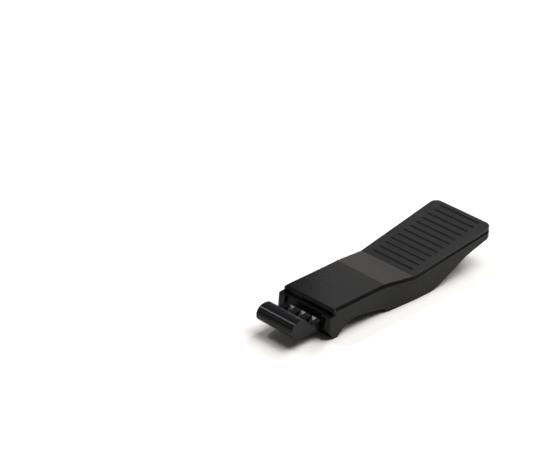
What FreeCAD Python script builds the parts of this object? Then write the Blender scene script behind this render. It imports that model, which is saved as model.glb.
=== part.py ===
"""Small lever-type punch down tool for a keystone jack.

The tool lies along X: the pushing head points to -X, the thumb end of the lever to +X.
Y runs across it and Z is up. The origin is on the surface that the tool rests on, at the
middle of its length and width. Millimetres throughout.
"""
import FreeCAD
import Part
import math
import os

from FreeCAD import Vector

# ---- driving dimensions ------------------------------------------------------------------
NOSE_X = -19.0            # front of the nose bar
TAIL_X = 19.0             # rear end of the lever
COVER_X = -12.2           # front edge of the cover's flat top
BEND_1_X = -2.3           # end of the level front section of the top
BEND_2_X = 3.2            # lowest point of the top, where the thumb section starts
TOP_FRONT_Z = 4.32        # height of the top at its front edge
TOP_BEND_1_Z = 4.25
TOP_BEND_2_Z = 3.58
TOP_TAIL_Z = 5.95

FRONT_HALF_WIDTH = 4.5    # outside half width from the front to the first bend
WAIST_HALF_WIDTH = 4.98   # behind the second bend
FLARE_START_X = -4.6      # the sides widen smoothly from here
FLARE_END_X = 5.0
FLARE_STEPS = 8
TAIL_HALF_WIDTH = 5.15
TAIL_CORNER_R = 1.15      # plan radius of the two rear corners
CHEEK_CORNER_R = 0.75     # plan radius of the two front corners of the lower body
COVER_CORNER_R = 0.5      # plan radius of the cover's two front corners

BEVEL = 0.36              # bevel along the cover's edge
LIP = 0.42                # height of the cover's edge, bevel included
WALL = 0.95               # thickness of the body's side walls
FLOOR = 0.85              # thickness of the body's floor
PLATE = 0.55              # depth of the cover's plate below its lip
GAP = 0.05                # moulding clearance between parts

LEDGE_Z = 3.45            # top of the ledge in front of the cover
LEDGE_X = -13.6           # front face of the body below the ledge
MOUTH_X = COVER_X - BEVEL  # front face of the cover
FOOT_X = -12.0            # lowest point of the foot
FOOT_R = 0.55             # rounding of the foot's toe
FOOT_FLAT = 0.6           # length of the foot's flat sole
CHIN_Z = 1.85             # height where the cheek's front starts to slope back to the foot

HEAD_HALF_WIDTH = 3.1
HEAD_BOTTOM_Z = 1.25
NOSE_R = 1.2
NOSE_Z = 2.9              # height of the nose bar's axis
CREST = (-16.5, 3.88)     # X and Z of the crest behind the nose bar
TROUGH_FRONT = (-15.55, 2.78)  # foot of the slope behind the crest
TOOTH_FRONT = (-15.1, 2.45)    # front end of the teeth's gently rising tops
TOOTH_BACK = (-13.35, 2.6)     # their rear end, above the steel strip
TROUGH_RIM_X = -13.1      # top of the sloping wall behind the teeth
COMB_PITCH = 1.88         # from one tooth to the next
NOTCH_WIDTH = 0.85
NOTCH_FRONT = (-14.95, 2.46)   # X and Z where a notch's front slope starts
NOTCH_BOTTOM = (-14.08, 1.5)   # X and Z of the bottom of a notch

BLADE_THICKNESS = 0.35
BLADE_END_WALL = 0.35     # plastic that covers each end of the steel strip
PIN_R = 0.25
PIN_Z = 1.95
PIN_FRONT_X = -14.6
PIN_REAR_X = -12.15
PIN_SIDES = (-COMB_PITCH / 2, COMB_PITCH / 2)

TONGUE_BOTTOM_Z = 2.62    # the head's tongue inside the body
TONGUE_TOP_Z = 3.25
TONGUE_END_X = -6.0
TONGUE_HALF_WIDTH = 3.0
EAR_X = -11.75            # ears that stop the head being pulled out of the body
HEAD_ROOT_X = -10.55      # rear end of the head's ears

PAD_EDGE = 0.15           # thickness of the pad at its front edge
PAD_TAIL = 0.5            # thickness of the pad at the tail
PAD_FRONT_INSET = 0.25    # how far the pad's sides stand back at its front and at the tail
PAD_TAIL_INSET = 0.04
PAD_KEY_DEPTH = 0.25      # depth of the key under the pad
PAD_KEY_INSET = 1.3
PAD_KEY_SETBACK = 0.35    # from the pad's front edge to the key
GROOVE_COUNT = 12
GROOVE_PITCH = 1.25
GROOVE_FIRST_X = 4.15
GROOVE_HALF_LENGTH = 3.55
GROOVE_R = 0.32
GROOVE_DEPTH = 0.19

FRONT_SCREW = (-8.3, 2.0)  # X and +-Y of the screws under the waist
REAR_SCREW = (4.6, 2.5)    # X and +-Y of the screws through the belly
SCREW_R = 0.55
SCREW_HEAD_R = 1.0
SCREW_HEAD_HEIGHT = 0.5
SCREW_HOLE_R = 0.65
FRONT_SEAT_Z = 1.86       # where the heads of the front screws bear
REAR_SEAT_Z = 0.62        # bottom of the counterbores in the belly
CROSS_LENGTH = 1.2        # cross recess in a screw's head
CROSS_WIDTH = 0.26
CROSS_DEPTH = 0.28
BOSS_R = 1.3
RIB_PLACES = (-1.2, 1.2, 8.2)  # X of the ribs across the body's inside
ABOVE = 8.0               # a height above everything, for cutting tools


# ---- shape helpers -----------------------------------------------------------------------
def point(x, z):
    return Vector(x, 0, z)


def side_solid(edges, half_width):
    """Extrude a closed side outline, made of edges or points in XZ, across the tool."""
    if isinstance(edges[0], tuple):
        corners = [point(*corner) for corner in edges]
        wire = Part.makePolygon(corners + [corners[0]])
    else:
        wire = Part.Wire(edges)
    face = Part.Face(wire)
    face.translate(Vector(0, -half_width, 0))
    return face.extrude(Vector(0, 2 * half_width, 0))


def box(x_low, x_high, half_width, z_low, z_high):
    size = (x_high - x_low, 2 * half_width, z_high - z_low)
    return Part.makeBox(*size, Vector(x_low, -half_width, z_low))


def upright(radius, x, y, z_low, z_high):
    return Part.makeCylinder(radius, z_high - z_low, Vector(x, y, z_low))


def side_pairs(place):
    """The same place on both sides of the middle."""
    x, y = place
    return [(x, -y), (x, y)]


def between(x, stations):
    """Straight-line value at x of a list of (x, value) stations."""
    for (x_0, value_0), (x_1, value_1) in zip(stations, stations[1:]):
        if x <= x_1:
            break
    return value_0 + (value_1 - value_0) * (x - x_0) / (x_1 - x_0)


def flare(step):
    """One station of the smooth widening of the sides between the front and the thumb end."""
    share = step / FLARE_STEPS
    x = FLARE_START_X + (FLARE_END_X - FLARE_START_X) * share
    smooth = share * share * (3 - 2 * share)
    return x, FRONT_HALF_WIDTH + (WAIST_HALF_WIDTH - FRONT_HALF_WIDTH) * smooth


HALF_WIDTHS = [(NOSE_X, FRONT_HALF_WIDTH)]
HALF_WIDTHS += [flare(step) for step in range(FLARE_STEPS + 1)]
HALF_WIDTHS += [(TAIL_X, TAIL_HALF_WIDTH)]
TOP_LINE = [
    (MOUTH_X, TOP_FRONT_Z),
    (BEND_1_X, TOP_BEND_1_Z),
    (BEND_2_X, TOP_BEND_2_Z),
    (TAIL_X, TOP_TAIL_Z),
]
# Behind the second bend the cover's own top runs below the pad, which thickens to the tail.
COVER_LINE = TOP_LINE[:-1] + [(TAIL_X, TOP_TAIL_Z - PAD_TAIL)]
PAD_FRONT_X = BEND_2_X + 0.15
PAD_UNDER_LINE = [(PAD_FRONT_X, TOP_BEND_2_Z - PAD_EDGE), (TAIL_X, TOP_TAIL_Z - PAD_TAIL)]


def plan_prism(inset, x_front, front_r=0.0, tail_r=TAIL_CORNER_R, x_tail=TAIL_X):
    """Upright prism of the tool's plan outline, drawn in by inset, from x_front to the tail."""
    rear = x_tail - inset
    bends = [x for x, _ in HALF_WIDTHS if x_front < x < rear]
    stations = [x_front] + bends + [rear]
    right = [Vector(x, between(x, HALF_WIDTHS) - inset, -1) for x in stations]
    left = [Vector(p.x, -p.y, p.z) for p in reversed(right)]
    face = Part.Face(Part.makePolygon(right + left + [right[0]]))
    prism = face.extrude(Vector(0, 0, ABOVE + 1))
    for radius, x in ((front_r, x_front), (tail_r - inset, rear)):
        if radius > 0.05:
            corners = [e for e in prism.Edges if is_upright_at(e, x)]
            prism = prism.makeFillet(radius, corners)
    return prism


def is_upright_at(edge, x):
    ends = [vertex.Point for vertex in edge.Vertexes]
    same_x = all(abs(end.x - x) < 1e-4 for end in ends)
    return len(ends) == 2 and same_x and abs(ends[0].z - ends[1].z) > 0.2


def shifted(line, drop):
    return [(x, z - drop) for x, z in line]


def fused(shapes):
    whole = shapes[0].fuse(shapes[1:])
    return whole.removeSplitter()


def soften(shape, radius, wanted):
    """Round the wanted edges, and stop the build if that is impossible."""
    edges = [edge for edge in shape.Edges if wanted(edge)]
    rounded = shape.makeFillet(radius, edges)
    if rounded.isValid() and rounded.Volume > 0:
        return rounded
    raise ValueError("an edge could not be rounded")


# ---- lower body --------------------------------------------------------------------------
def body_side_outline():
    """Side view: ledge, cheek front, foot, underside recess, belly and thin tail."""
    toe = point(FOOT_X - 0.15, 0.0)
    lower = [
        (toe.x + FOOT_FLAT, 0.0),
        (-10.35, 1.08),
        (-9.1, 1.66),
        (-8.35, 1.76),
        (-6.1, 1.44),
        (-3.1, 0.84),
        (-2.35, 0.66),
        (-1.9, 0.2),
        (-1.3, 0.0),
        (6.5, 0.0),
        (7.8, 0.28),
        (9.9, 1.2),
        (12.0, 2.16),
        (13.8, 3.02),
        (15.1, 3.37),
        (17.1, 3.87),
        (18.75, 4.3),
        (TAIL_X, 4.62),
    ]
    seam = shifted(COVER_LINE, LIP)
    upper = [(TAIL_X, seam[-1][1])] + seam[-2:0:-1] + [(MOUTH_X, TOP_FRONT_Z - LIP)]
    front = [(MOUTH_X, LEDGE_Z), (LEDGE_X, LEDGE_Z), (LEDGE_X - 0.1, CHIN_Z)]
    corners = [point(*corner) for corner in lower + upper + front]
    edges = [Part.LineSegment(a, b).toShape() for a, b in zip(corners, corners[1:])]
    slope_end = point(FOOT_X - FOOT_R, 0.3)
    edges.append(Part.LineSegment(corners[-1], slope_end).toShape())
    edges.append(Part.Arc(slope_end, point(FOOT_X - 0.4, 0.1), toe).toShape())
    edges.append(Part.LineSegment(toe, corners[0]).toShape())
    return edges


def cavity_floor():
    """Top of the body's floor inside, one floor thickness above the underside."""
    return [
        (EAR_X - GAP, TONGUE_BOTTOM_Z - GAP),
        (-5.2, TONGUE_BOTTOM_Z - GAP),
        (-2.1, 0.84 + FLOOR),
        (-0.9, FLOOR),
        (6.4, FLOOR),
        (10.4, 1.4 + FLOOR),
        (13.6, 2.9 + FLOOR),
    ]


def seam_height(x):
    return between(x, shifted(COVER_LINE, LIP))


def cavity():
    floor = cavity_floor()
    roof = [(x, ABOVE) for x in (floor[-1][0], floor[0][0])]
    room = side_solid(floor + roof, TAIL_HALF_WIDTH)
    return room.common(plan_prism(WALL, EAR_X - GAP, x_tail=TAIL_X))


def cover_well():
    """Room for the cover's plate, which fits down between the side walls."""
    depth = LIP + PLATE + GAP
    line = shifted(COVER_LINE, depth)
    roof = [(x, ABOVE) for x in (TAIL_X, MOUTH_X)]
    well = side_solid(line + roof, TAIL_HALF_WIDTH)
    return well.common(plan_prism(WALL, MOUTH_X - 1.0))


def mouth():
    """Notch in the front of the body that the head stands in."""
    return box(LEDGE_X - 2.0, EAR_X, HEAD_HALF_WIDTH + GAP, HEAD_BOTTOM_Z - GAP, ABOVE)


def body_boss(x, y):
    return upright(BOSS_R, x, y, FLOOR / 2, seam_height(x) - PLATE - GAP)


def rib(x):
    top = seam_height(x) - PLATE - 3 * GAP
    half_width = between(x, HALF_WIDTHS) - WALL + 0.1
    return box(x - 0.3, x + 0.3, half_width, between(x, cavity_floor()) - 0.2, top)


def corner_waste():
    """What comes off the body's front corners above the ledge, to match the cover."""
    block = box(MOUTH_X - 1.0, MOUTH_X + 1.0, TAIL_HALF_WIDTH, LEDGE_Z, ABOVE)
    return block.cut(plan_prism(0.0, MOUTH_X, front_r=COVER_CORNER_R))


def make_lower_body():
    outer = side_solid(body_side_outline(), TAIL_HALF_WIDTH + 1)
    outer = outer.common(plan_prism(0.0, LEDGE_X - 0.1, front_r=CHEEK_CORNER_R))
    body = outer.cut([cavity(), cover_well(), mouth(), corner_waste()])
    supports = [body_boss(x, y) for x, y in side_pairs(REAR_SCREW)]
    supports += [rib(x) for x in RIB_PLACES]
    body = fused([body] + supports).cut(cover_well())
    for x, y in side_pairs(FRONT_SCREW):
        body = body.cut(upright(SCREW_HOLE_R, x, y, 0.5, 3.2))
        body = body.cut(upright(SCREW_HEAD_R + 0.1, x, y, 0.5, FRONT_SEAT_Z))
    for x, y in side_pairs(REAR_SCREW):
        body = body.cut(upright(SCREW_HOLE_R, x, y, -0.5, 4.0))
        body = body.cut(upright(SCREW_HEAD_R + 0.1, x, y, -0.5, REAR_SEAT_Z))
    return body


# ---- top cover ---------------------------------------------------------------------------
def lip_section(ends):
    """One flat section of the cover's edge, with the bevel round its outside."""
    section = side_solid(list(ends) + shifted(ends, LIP)[::-1], TAIL_HALF_WIDTH + 1)
    plan = plan_prism(0.0, MOUTH_X, front_r=COVER_CORNER_R)
    section = section.common(plan).Solids[0]
    rim = [edge for edge in section.Edges if is_cover_rim(edge)]
    return section.makeChamfer(BEVEL, rim).Solids[0]


def make_top_cover():
    lip = [lip_section(ends) for ends in zip(COVER_LINE, COVER_LINE[1:])]
    plate_line = shifted(COVER_LINE, LIP)
    plate = side_solid(plate_line + shifted(plate_line, PLATE)[::-1], TAIL_HALF_WIDTH)
    plate = plate.common(plan_prism(WALL + GAP, EAR_X + GAP))
    apron_half_width = FRONT_HALF_WIDTH - WALL - GAP
    apron = box(MOUTH_X, EAR_X + GAP, apron_half_width, LEDGE_Z, TOP_FRONT_Z - LIP)
    cover = fused(lip + [plate, apron])
    cover = cover.cut([pad_wedge(), pad_key(GAP)])
    for x, y in side_pairs(FRONT_SCREW) + side_pairs(REAR_SCREW):
        cover = cover.cut(upright(SCREW_R + 0.01, x, y, 0.0, screw_tip(x)))
    return cover


def is_cover_rim(edge):
    """The edges round the cover's top, but not the creases across it at the two bends."""
    ends = [vertex.Point for vertex in edge.Vertexes]
    on_top = all(abs(p.z - between(p.x, COVER_LINE)) < 1e-3 for p in ends)
    crease = all(min(abs(p.x - BEND_1_X), abs(p.x - BEND_2_X)) < 1e-3 for p in ends)
    return len(ends) == 2 and on_top and not (crease and abs(ends[0].x - ends[1].x) < 1e-3)


# ---- thumb pad ---------------------------------------------------------------------------
def pad_key(clearance):
    """Key under the pad, which sits in a pocket of the cover and carries the thumb force."""
    under = shifted(PAD_UNDER_LINE, -0.05)
    floor = shifted(PAD_UNDER_LINE, PAD_KEY_DEPTH + clearance)
    strip = side_solid(under + floor[::-1], TAIL_HALF_WIDTH)
    front = PAD_FRONT_X + PAD_KEY_SETBACK - clearance
    return strip.common(plan_prism(PAD_KEY_INSET - clearance, front))


def groove(x):
    """Round-bottomed groove across the pad, which runs out in a ball shape at each end."""
    z = between(x, TOP_LINE) + GROOVE_R - GROOVE_DEPTH
    reach = GROOVE_HALF_LENGTH - math.sqrt(GROOVE_R ** 2 - (GROOVE_R - GROOVE_DEPTH) ** 2)
    rod = Part.makeCylinder(GROOVE_R, 2 * reach, Vector(x, -reach, z), Vector(0, 1, 0))
    ends = [Part.makeSphere(GROOVE_R, Vector(x, y, z)) for y in (-reach, reach)]
    return fused([rod] + ends)


def pad_prism():
    """Plan outline of the pad, whose sides meet the tool's sides at the tail."""
    rear = TAIL_X - PAD_TAIL_INSET
    front_half = between(PAD_FRONT_X, HALF_WIDTHS) - PAD_FRONT_INSET
    rear_half = TAIL_HALF_WIDTH - PAD_TAIL_INSET
    right = [Vector(PAD_FRONT_X, front_half, 0), Vector(rear, rear_half, 0)]
    left = [Vector(p.x, -p.y, 0) for p in reversed(right)]
    face = Part.Face(Part.makePolygon(right + left + [right[0]]))
    prism = face.extrude(Vector(0, 0, ABOVE))
    corners = [edge for edge in prism.Edges if is_upright_at(edge, rear)]
    return prism.makeFillet(TAIL_CORNER_R - PAD_TAIL_INSET, corners)


def pad_wedge():
    """The pad without its key and grooves."""
    over = [(TAIL_X, TOP_TAIL_Z), (PAD_FRONT_X, between(PAD_FRONT_X, TOP_LINE))]
    wedge = side_solid(PAD_UNDER_LINE + over, TAIL_HALF_WIDTH)
    return wedge.common(pad_prism())


def make_thumb_pad():
    pad = soften(pad_wedge(), 0.1, is_pad_rim)
    pad = fused([pad, pad_key(0.0)])
    for number in range(GROOVE_COUNT):
        pad = pad.cut(groove(GROOVE_FIRST_X + number * GROOVE_PITCH))
    return pad


def is_pad_rim(edge):
    """The pad's top edges along its sides and round its tail."""
    ends = [vertex.Point for vertex in edge.Vertexes]
    on_top = all(abs(p.z - between(p.x, TOP_LINE)) < 1e-3 for p in ends)
    front_edge = all(p.x < PAD_FRONT_X + 0.1 for p in ends)
    return len(ends) == 2 and on_top and not front_edge


# ---- pushing head ------------------------------------------------------------------------
def head_side_outline():
    """Side view: nose bar, crest, trough with a level floor, upright wall and underside."""
    nose_x = NOSE_X + NOSE_R

    def on_nose(degrees):
        angle = math.radians(degrees)
        return point(nose_x + NOSE_R * math.cos(angle), NOSE_Z + NOSE_R * math.sin(angle))

    top = on_nose(90)
    shoulder = point(nose_x + 0.7, top.z - 0.01)
    crest = point(*CREST)
    slope_foot = point(*TROUGH_FRONT)
    floor_front = point(*TOOTH_FRONT)
    hollow = point(floor_front.x - 0.25, floor_front.z + 0.06)
    floor_back = point(*TOOTH_BACK)
    rim = point(TROUGH_RIM_X, LEDGE_Z)
    root = point(HEAD_ROOT_X, LEDGE_Z)
    root_foot = point(HEAD_ROOT_X, HEAD_BOTTOM_Z + 0.9)
    ear_foot = point(EAR_X, HEAD_BOTTOM_Z)
    heel = point(-16.2, HEAD_BOTTOM_Z)
    chin = on_nose(250)
    corners = [floor_front, floor_back, rim, root, root_foot, ear_foot, heel]
    edges = [
        Part.Arc(chin, on_nose(180), top).toShape(),
        Part.Arc(top, shoulder, crest).toShape(),
        Part.LineSegment(crest, slope_foot).toShape(),
        Part.Arc(slope_foot, hollow, floor_front).toShape(),
    ]
    edges += [Part.LineSegment(a, b).toShape() for a, b in zip(corners, corners[1:])]
    edges.append(Part.Arc(heel, point(-17.25, 1.42), chin).toShape())
    return edges


def blade_line():
    """Front face of the leaning steel strip in side view, from its bottom to its top."""
    return [NOTCH_BOTTOM, (TOOTH_BACK[0], TOOTH_BACK[1] - 0.03)]


def blade_plate():
    """The strip behind the notches, without its pin holes."""
    front = blade_line()
    back = [(x + BLADE_THICKNESS, z) for x, z in reversed(front)]
    return side_solid(front + back, HEAD_HALF_WIDTH - BLADE_END_WALL)


def notch(y):
    """V-shaped notch between two teeth, which ends at the steel strip."""
    bottom, blade_top = blade_line()
    over_z = TOOTH_BACK[1] + 0.3
    outline = [
        NOTCH_FRONT,
        bottom,
        blade_top,
        (TOOTH_BACK[0], over_z),
        (NOTCH_FRONT[0], over_z),
    ]
    cutter = side_solid(outline, NOTCH_WIDTH / 2)
    cutter.translate(Vector(0, y, 0))
    return cutter


def blade_pin(y):
    start = Vector(PIN_FRONT_X, y, PIN_Z)
    return Part.makeCylinder(PIN_R, PIN_REAR_X - PIN_FRONT_X, start, Vector(1, 0, 0))


def make_pusher_head():
    head = side_solid(head_side_outline(), HEAD_HALF_WIDTH)
    inside = [
        box(EAR_X, TONGUE_END_X, ABOVE, -1.0, TONGUE_BOTTOM_Z),
        box(EAR_X, TONGUE_END_X, ABOVE, TONGUE_TOP_Z, ABOVE),
    ]
    ear_half_width = FRONT_HALF_WIDTH - WALL - GAP
    ears = box(EAR_X, HEAD_ROOT_X, ear_half_width, TONGUE_BOTTOM_Z, TONGUE_TOP_Z)
    tongue = box(EAR_X, TONGUE_END_X, TONGUE_HALF_WIDTH, TONGUE_BOTTOM_Z, TONGUE_TOP_Z)
    head = fused([head.cut(inside), ears, tongue])
    notches = [notch(number * COMB_PITCH) for number in (-1, 0, 1)]
    pins = [blade_pin(y) for y in PIN_SIDES]
    screw_holes = [upright(SCREW_HOLE_R, x, y, 0.0, ABOVE) for x, y in side_pairs(FRONT_SCREW)]
    return head.cut(notches + [blade_plate()] + pins + screw_holes)


def make_cutting_blade():
    """Steel strip across the head, leaning back behind the three notches."""
    return blade_plate().cut([blade_pin(y) for y in PIN_SIDES])


def make_blade_pins():
    return Part.makeCompound([blade_pin(y) for y in PIN_SIDES])


# ---- screws ------------------------------------------------------------------------------
def screw_tip(x):
    """Top of the screw's hole in the cover, clear of the cover's face and of the pad's key."""
    if x > PAD_FRONT_X:
        return between(x, PAD_UNDER_LINE) - PAD_KEY_DEPTH - 0.3
    return between(x, COVER_LINE) - 0.35


def screw(x, y, seat_z):
    """Pan-head screw, driven upwards, with a cross recess in its head."""
    low = seat_z - SCREW_HEAD_HEIGHT
    head = upright(SCREW_HEAD_R, x, y, low, seat_z)
    head = head.makeFillet(0.18, [edge for edge in head.Edges if is_circle_at(edge, low)])
    shank = upright(SCREW_R, x, y, seat_z, screw_tip(x) - GAP)
    body = fused([head, shank])
    for length, width in ((CROSS_LENGTH, CROSS_WIDTH), (CROSS_WIDTH, CROSS_LENGTH)):
        corner = Vector(x - length / 2, y - width / 2, low)
        body = body.cut(Part.makeBox(length, width, CROSS_DEPTH, corner))
    return body


def is_circle_at(edge, z):
    return len(edge.Vertexes) == 1 and abs(edge.Vertexes[0].Point.z - z) < 1e-6


def make_screws(place, seat_z):
    return Part.makeCompound([screw(x, y, seat_z) for x, y in side_pairs(place)])


# ---- export ------------------------------------------------------------------------------
def make_parts():
    return {
        "lower_body": make_lower_body(),
        "top_cover": make_top_cover(),
        "thumb_pad": make_thumb_pad(),
        "pusher_head": make_pusher_head(),
        "cutting_blade": make_cutting_blade(),
        "blade_pins": make_blade_pins(),
        "front_screws": make_screws(FRONT_SCREW, FRONT_SEAT_Z),
        "rear_screws": make_screws(REAR_SCREW, REAR_SEAT_Z),
    }


def main():
    os.makedirs("parts", exist_ok=True)
    for name, shape in make_parts().items():
        around = shape.BoundBox
        print(f"{name:14s} solids {len(shape.Solids)} valid {shape.isValid()} "
              f"volume {shape.Volume:8.3f} "
              f"x {around.XMin:7.2f} {around.XMax:7.2f} y {around.YMin:6.2f} {around.YMax:6.2f} "
              f"z {around.ZMin:5.2f} {around.ZMax:5.2f}")
        shape.exportStep(f"parts/{name}.step")


main()
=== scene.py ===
"""Looks for the small punch down tool: moulded black plastic, a steel strip, pins and screws."""
import math

import bpy
from mathutils import Matrix, Vector

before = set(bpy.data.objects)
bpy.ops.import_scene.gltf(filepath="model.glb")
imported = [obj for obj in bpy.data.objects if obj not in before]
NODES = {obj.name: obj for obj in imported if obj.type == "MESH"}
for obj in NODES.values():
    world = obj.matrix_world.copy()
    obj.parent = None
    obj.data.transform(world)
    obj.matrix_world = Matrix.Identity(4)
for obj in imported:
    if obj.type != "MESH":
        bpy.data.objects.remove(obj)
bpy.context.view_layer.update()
MM = 0.001

WORN_AND_HIGHLIT_EDGE_BLACK = (0.035, 0.034, 0.034, 1)     # plastic edges, lighter from wear and from a painted edge highlight
RUBBED_STEEL = (0.86, 0.85, 0.83, 1)
LIGHT_EDGE_REACH = 0.06 * MM                    # how far the lighter edge band (wear, and on the plastic a painted edge highlight) reaches from an edge

# Looks of the four plastics. The refractive index and the roughness are set for the look of
# each piece's gloss, and the grain is in cycles per metre with its depth.
BLACK = (0.0016, 0.0015, 0.0016)
BLACK_LIGHT = (0.0034, 0.0031, 0.0030)
# The head is the same black plastic as the body, given lighter, bluer tones: painted sheen for
# the bluish light on the head and in its trough.
HEAD_PAINTED_SHEEN_DARK = (0.0050, 0.0051, 0.0057)
HEAD_PAINTED_SHEEN_LIGHT = (0.0075, 0.0076, 0.0084)

FRONT_CORNER = (-12.2, 4.5, 4.3)    # far front corner of the cover, in millimetres
CARD_WAY = (0.66, 0.58, 0.48)       # what the level top mirrors to the camera
BRIGHT_WALL = (0.72, 0.6, 0.15)     # direction of the brightest part of the studio
LIGHT_DISTANCE = 0.6                # metres from the tool to each light
FLOOR_REACH = 3.0                   # metres from the middle to the floor's edges
FLOOR_DROP = 0.03 * MM              # how far the floor lies below the tool

CAMERA_BACK = (-0.6611, -0.5786, 0.4777)    # from the tool to the camera
CAMERA_RIGHT = (0.6586, -0.7525, 0.0)
CAMERA_ROLL = 0.071                         # radians
CAMERA_AIM = (3.87, 21.85, 0.0)             # point in the middle of the picture, millimetres
CAMERA_DISTANCE = 348.46                    # millimetres from that point
CAMERA_LENS = 166.7                         # for a sensor 36 mm wide


# ---- node helpers ------------------------------------------------------------------------
class Shader:
    """Small helper that adds linked nodes to one node tree."""

    def __init__(self, tree):
        self.tree = tree

    def add(self, kind, inputs=(), **settings):
        node = self.tree.nodes.new(kind)
        for name, value in settings.items():
            setattr(node, name, value)
        for name, value in dict(inputs).items():
            if hasattr(value, "is_output"):
                self.tree.links.new(value, node.inputs[name])
            else:
                node.inputs[name].default_value = value
        return node

    def noise(self, where, scale, detail=2.0, roughness=0.5):
        node = self.add("ShaderNodeTexNoise", {"Vector": where, "Scale": scale, "Detail": detail,
                                               "Roughness": roughness})
        return node.outputs["Fac"]

    def math(self, operation, first, second=0.0, clamp=False):
        node = self.add("ShaderNodeMath", {0: first, 1: second}, operation=operation,
                        use_clamp=clamp)
        return node.outputs[0]

    def span(self, value, low, high, to_low, to_high):
        node = self.add("ShaderNodeMapRange", {"Value": value, "From Min": low, "From Max": high,
                                               "To Min": to_low, "To Max": to_high})
        return node.outputs[0]

    def mix(self, factor, first, second):
        node = self.add("ShaderNodeMix", {0: factor, 6: first, 7: second}, data_type="RGBA")
        return node.outputs[2]

    def edge_mask(self, radius):
        """1 on convex and concave edges, 0 on flat faces."""
        rounded = self.add("ShaderNodeBevel", {"Radius": radius}, samples=4).outputs["Normal"]
        flat = self.add("ShaderNodeNewGeometry").outputs["Normal"]
        dot = self.add("ShaderNodeVectorMath", {0: rounded, 1: flat}, operation="DOT_PRODUCT")
        return self.span(dot.outputs["Value"], 0.995, 0.86, 0.0, 1.0)


def start_material(name):
    material = bpy.data.materials.new(name)
    material.use_nodes = True
    material.node_tree.nodes.clear()
    shader = Shader(material.node_tree)
    where = shader.add("ShaderNodeTexCoord").outputs["Object"]
    return material, shader, where


def finish_material(shader, surface):
    shader.add("ShaderNodeOutputMaterial", {"Surface": surface.outputs[0]})


def moulded_plastic(name, tones, roughness, ior, grain, grain_depth, edge_wear_and_highlight):
    """Black moulded plastic: fine spark-eroded grain, faint flow marks, and edges lightened by
    wear and by a painted edge highlight.
    """
    material, shader, where = start_material(name)
    dark, light = tones
    flow = shader.noise(where, 160.0, 3.0)
    grit = shader.noise(where, grain, 3.0, 0.6)
    pores = shader.noise(where, grain * 2.6, 2.0, 0.55)
    # Edges, concave as well as convex, get a lighter colour: part wear, part painted edge
    # highlight.
    edge = shader.edge_mask(LIGHT_EDGE_REACH)
    worn_and_highlit_edge = shader.math("MULTIPLY", edge, shader.span(flow, 0.35, 0.65, 0.35, 1.0))
    colour = shader.mix(shader.span(flow, 0.3, 0.7, 0.0, 1.0), (*dark, 1), (*light, 1))
    colour = shader.mix(shader.math("MULTIPLY", worn_and_highlit_edge, edge_wear_and_highlight), colour, WORN_AND_HIGHLIT_EDGE_BLACK)
    rough = shader.span(flow, 0.3, 0.7, *roughness)
    rough = shader.math("ADD", rough, shader.span(grit, 0.3, 0.7, -0.03, 0.03))
    rough = shader.math("SUBTRACT", rough, shader.math("MULTIPLY", worn_and_highlit_edge, 0.08), clamp=True)
    height = shader.math("ADD", grit, shader.math("MULTIPLY", pores, 0.5))
    bump = shader.add("ShaderNodeBump", {"Strength": 0.55, "Distance": grain_depth,
                                         "Height": height})
    surface = shader.add("ShaderNodeBsdfPrincipled", {
        "Base Color": colour, "Roughness": rough, "IOR": ior, "Normal": bump.outputs[0]})
    finish_material(shader, surface)
    return material


def brushed_steel(name, tint, roughness, along, line_depth):
    """Bare steel: fine drawn lines, faint stains and brighter rubbed edges."""
    material, shader, where = start_material(name)
    stretched = shader.add("ShaderNodeMapping", {"Vector": where, "Scale": along}).outputs[0]
    lines = shader.noise(stretched, 2400.0, 3.0, 0.6)
    stain = shader.noise(where, 500.0, 3.0)
    edge = shader.edge_mask(LIGHT_EDGE_REACH)
    darker = tuple(0.72 * c for c in tint)
    colour = shader.mix(shader.span(stain, 0.35, 0.7, 0.0, 1.0), (*tint, 1), (*darker, 1))
    colour = shader.mix(shader.math("MULTIPLY", edge, 0.6), colour, RUBBED_STEEL)
    rough = shader.span(lines, 0.3, 0.7, *roughness)
    bump = shader.add("ShaderNodeBump", {"Strength": 0.4, "Distance": line_depth,
                                         "Height": lines})
    surface = shader.add("ShaderNodeBsdfPrincipled", {
        "Base Color": colour, "Roughness": rough, "Metallic": 1.0, "Normal": bump.outputs[0]})
    finish_material(shader, surface)
    return material


BODY = moulded_plastic("body_plastic", (BLACK, BLACK_LIGHT), roughness=(0.28, 0.36), ior=1.24,
                       grain=6000, grain_depth=0.006 * MM, edge_wear_and_highlight=0.25)
COVER = moulded_plastic("cover_plastic", (BLACK, BLACK_LIGHT), roughness=(0.26, 0.33), ior=1.34,
                        grain=5000, grain_depth=0.0015 * MM, edge_wear_and_highlight=0.35)
PAD = moulded_plastic("pad_plastic", (BLACK, BLACK_LIGHT), roughness=(0.46, 0.54), ior=1.39,
                      grain=6000, grain_depth=0.006 * MM, edge_wear_and_highlight=0.3)
# The head's tones carry a painted sheen, lighter and bluer than the body's black.
HEAD = moulded_plastic("head_plastic", (HEAD_PAINTED_SHEEN_DARK, HEAD_PAINTED_SHEEN_LIGHT), roughness=(0.19, 0.25), ior=1.23,
                       grain=7000, grain_depth=0.002 * MM, edge_wear_and_highlight=0.2)
STEEL = brushed_steel("blade_steel", (0.62, 0.61, 0.59), roughness=(0.34, 0.5),
                      along=(0.15, 0.04, 1), line_depth=0.004 * MM)
PIN = brushed_steel("pin_steel", (0.5, 0.49, 0.47), roughness=(0.25, 0.4),
                    along=(0.1, 1, 1), line_depth=0.004 * MM)
SCREW = brushed_steel("screw_steel", (0.34, 0.335, 0.33), roughness=(0.28, 0.42),
                      along=(1, 1, 0.2), line_depth=0.005 * MM)

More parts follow.
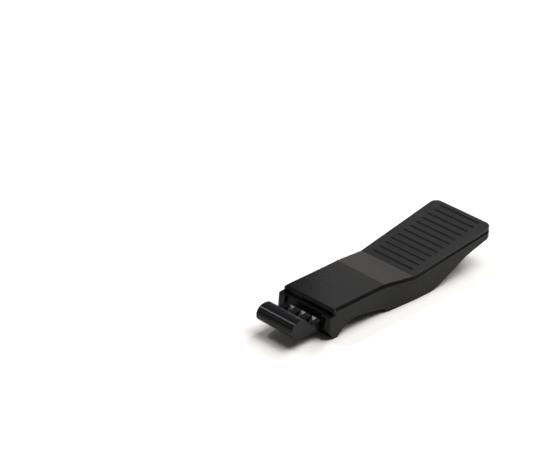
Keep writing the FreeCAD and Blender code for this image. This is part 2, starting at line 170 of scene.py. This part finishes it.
NODE_MATERIALS = {
    "lower_body": BODY,
    "top_cover": COVER,
    "thumb_pad": PAD,
    "pusher_head": HEAD,
    "cutting_blade": STEEL,
    "blade_pins": PIN,
    "front_screws": SCREW,
    "rear_screws": SCREW,
}
EDGE_ROUNDING = {             # radius on the edges, in millimetres
    "lower_body": 0.12,
    "top_cover": 0.1,
    "thumb_pad": 0.12,
    "pusher_head": 0.11,
    "cutting_blade": 0.02,
}

for name, material in NODE_MATERIALS.items():
    node = NODES[name]
    node.data.materials.clear()
    node.data.materials.append(material)

for name, width in EDGE_ROUNDING.items():
    bevel = NODES[name].modifiers.new("edge_rounding", "BEVEL")
    bevel.width = width * MM
    bevel.segments = 3
    bevel.limit_method = "ANGLE"
    bevel.angle_limit = math.radians(35)
    bevel.use_clamp_overlap = True
    bevel.harden_normals = True


# ---- floor, light and camera ---------------------------------------------------------------
def make_floor():
    mesh = bpy.data.meshes.new("floor")
    corners = [(-1, -1), (1, -1), (1, 1), (-1, 1)]
    level = [(x * FLOOR_REACH, y * FLOOR_REACH, -FLOOR_DROP) for x, y in corners]
    mesh.from_pydata(level, [], [(0, 1, 2, 3)])
    floor = bpy.data.objects.new("floor", mesh)
    bpy.context.collection.objects.link(floor)
    material, shader, where = start_material("floor_paper")
    tone = shader.span(shader.noise(where, 4.0, 2.0), 0.3, 0.7, 0.0, 1.0)
    colour = shader.mix(tone, (0.94, 0.925, 0.89, 1), (0.96, 0.945, 0.91, 1))
    surface = shader.add("ShaderNodeBsdfPrincipled", {
        "Base Color": colour, "Roughness": 0.9, "Specular IOR Level": 0.1})
    finish_material(shader, surface)
    mesh.materials.append(material)


def make_grey_card(distance, reach_right, reach_left, low, high):
    """Blue-grey card off to one side, which only the gloss of the tool's front shows.

    It stands in for what stood beside the tool. The lengths are in millimetres.
    """
    toward = Vector(CARD_WAY).normalized()
    left = Vector((-toward.y, toward.x, 0.0)).normalized()
    up = toward.cross(left)
    centre = Vector(FRONT_CORNER) + toward * distance
    reach = ((-reach_right, -low), (reach_left, -low), (reach_left, high), (-reach_right, high))
    mesh = bpy.data.meshes.new("grey_card")
    mesh.from_pydata([(centre + left * a + up * b) * MM for a, b in reach], [], [(0, 1, 2, 3)])
    card = bpy.data.objects.new("grey_card", mesh)
    bpy.context.collection.objects.link(card)
    card.visible_camera = False
    card.visible_diffuse = False
    card.visible_shadow = False
    material, shader, where = start_material("card_paper")
    tone = shader.span(shader.noise(where, 40.0, 2.0), 0.3, 0.7, 0.0, 1.0)
    colour = shader.mix(tone, (0.22, 0.25, 0.33, 1), (0.26, 0.29, 0.37, 1))
    surface = shader.add("ShaderNodeBsdfPrincipled", {"Base Color": colour, "Roughness": 0.9})
    finish_material(shader, surface)
    mesh.materials.append(material)


def make_world(base, glow):
    """Grey studio with a bright wall low behind the tool and a darker, cooler ceiling."""
    world = bpy.data.worlds.new("studio")
    world.use_nodes = True
    world.node_tree.nodes.clear()
    shader = Shader(world.node_tree)
    way = shader.add("ShaderNodeTexCoord").outputs["Generated"]
    toward = shader.add("ShaderNodeVectorMath", {0: way, 1: Vector(BRIGHT_WALL).normalized()},
                        operation="DOT_PRODUCT").outputs["Value"]
    wall = shader.math("POWER", shader.math("MAXIMUM", toward, 0.0), 3.0)
    height = shader.add("ShaderNodeSeparateXYZ", {0: way}).outputs[2]
    low = shader.span(height, 0.25, 0.75, 1.0, 0.55)
    strength = shader.math("ADD", base, shader.math("MULTIPLY", wall, glow))
    strength = shader.math("MULTIPLY", strength, low)
    colour = shader.mix(shader.span(height, 0.3, 0.9, 0.0, 1.0), (1.0, 0.95, 0.9, 1),
                        (0.86, 0.92, 1.0, 1))
    background = shader.add("ShaderNodeBackground", {"Color": colour, "Strength": strength})
    shader.add("ShaderNodeOutputWorld", {"Surface": background.outputs[0]})
    bpy.context.scene.world = world


def soft_box(name, direction, size, watts):
    """Rectangular area light that faces the tool from one direction."""
    light = bpy.data.lights.new(name, "AREA")
    light.shape = "RECTANGLE"
    light.size, light.size_y = size
    light.energy = watts
    lamp = bpy.data.objects.new(name, light)
    bpy.context.collection.objects.link(lamp)
    away = Vector(direction).normalized()
    lamp.location = away * LIGHT_DISTANCE
    lamp.rotation_mode = "QUATERNION"
    lamp.rotation_quaternion = away.to_track_quat("Z", "Y")


def make_camera():
    back = Vector(CAMERA_BACK).normalized()
    right = Vector(CAMERA_RIGHT).normalized()
    up = back.cross(right)
    axis_x = right * math.cos(CAMERA_ROLL) + up * math.sin(CAMERA_ROLL)
    axis_y = up * math.cos(CAMERA_ROLL) - right * math.sin(CAMERA_ROLL)
    place = (Vector(CAMERA_AIM) + back * CAMERA_DISTANCE) * MM
    data = bpy.data.cameras.new("camera")
    data.sensor_width = 36.0
    data.lens = CAMERA_LENS
    data.clip_start = 0.005
    data.clip_end = 20.0
    camera = bpy.data.objects.new("camera", data)
    bpy.context.collection.objects.link(camera)
    turn = Matrix((axis_x, axis_y, back)).transposed().to_4x4()
    camera.matrix_world = Matrix.Translation(place) @ turn
    bpy.context.scene.camera = camera


make_floor()
make_grey_card(distance=25.0, reach_right=4.5, reach_left=45.0, low=16.0, high=20.0)
make_world(base=0.08, glow=0.87)
soft_box("overhead", (0.24, -0.24, 1.0), size=(0.45, 0.45), watts=3.6)
soft_box("key", (-0.20, 0.58, 0.79), size=(0.10, 0.10), watts=0.6)
soft_box("left_card", (-0.68, 0.58, 0.46), size=(0.14, 0.10), watts=0.09)
soft_box("rim", (0.66, 0.10, 0.74), size=(0.12, 0.12), watts=0.7)
make_camera()
bpy.context.scene.view_settings.view_transform = "Standard"
